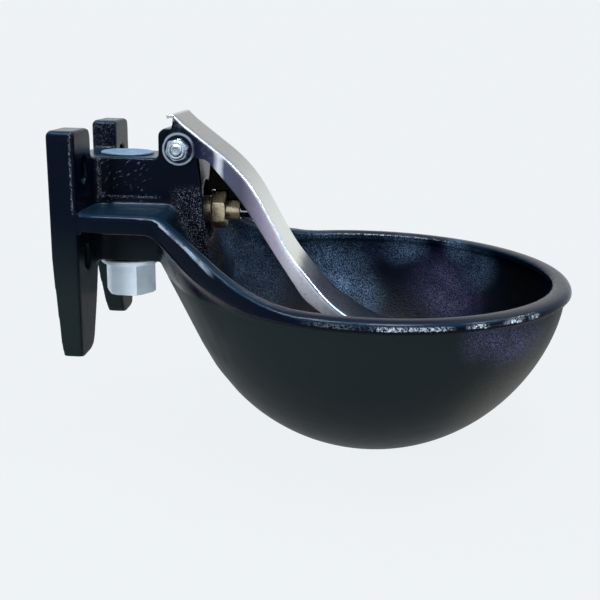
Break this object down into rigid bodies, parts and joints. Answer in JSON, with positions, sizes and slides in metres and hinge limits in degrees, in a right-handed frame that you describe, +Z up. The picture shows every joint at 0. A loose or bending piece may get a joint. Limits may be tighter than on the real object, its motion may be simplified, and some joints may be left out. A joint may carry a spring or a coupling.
{
  "type": "cattle drinking bowl",
  "caption": "Wall-mounted cast-iron drinking bowl for cattle with a hinged steel push paddle that opens a spring valve.",
  "frame": {"origin": "on the wall plane behind the mounting bars, on the bowl's middle plane, level with the top of the casting's ledge", "axes": "+X out of the wall towards the bowl's front, +Y along the wall, +Z up"},
  "size_m": [0.3338, 0.2648, 0.2235],
  "materials": {
    "navy_enamel_on_iron": "glossy dark navy enamel over a pebbled casting",
    "stainless_steel": "satin stainless",
    "zinc_plated_steel": "bright zinc plate",
    "brass": "turned brass",
    "white_plastic": "matt",
    "pale_blue_plastic": "matt",
    "black_rubber": "matt",
    "nylon": "matt",
    "red_fibre": "matt"
  },
  "bodies": {
    "bowl": {"bowl_casting": "navy_enamel_on_iron", "inlet_cap": "pale_blue_plastic", "plug_seal": "black_rubber", "blanking_plug": "white_plastic", "valve_body": "brass", "valve_gasket": "red_fibre", "gland_nut": "brass", "stem_seal_ring": "black_rubber", "spring_retainer": "stainless_steel", "valve_spring": "stainless_steel"},
    "paddle_set": {"paddle": "stainless_steel", "hinge_bolt": "zinc_plated_steel", "hinge_nut": "zinc_plated_steel", "nut_insert": "nylon", "washer_near": "nylon", "washer_far": "nylon", "head_washer": "zinc_plated_steel"},
    "valve_slider": {"valve_stem": "stainless_steel", "valve_seal": "black_rubber", "valve_plunger": "brass"}
  },
  "joints": [
    {"name": "paddle_press", "type": "hinge", "parent": "bowl", "child": "paddle_set", "pos_m": [0.0732, 0, 0.0377], "axis": [0, 1, 0], "range_deg": [0, 3.4], "stiffness_Nm_per_rad": 2.9, "springref_deg": -8.59},
    {"name": "valve_stem_slide", "type": "slide", "parent": "bowl", "child": "valve_slider", "axis": [-1, 0, 0], "range_m": [0, 0.0041], "deforming": ["valve_spring"]}
  ],
  "couplings": [
    {"joint": "valve_stem_slide", "follows": "paddle_press", "m_per_rad": 0.069}
  ]
}
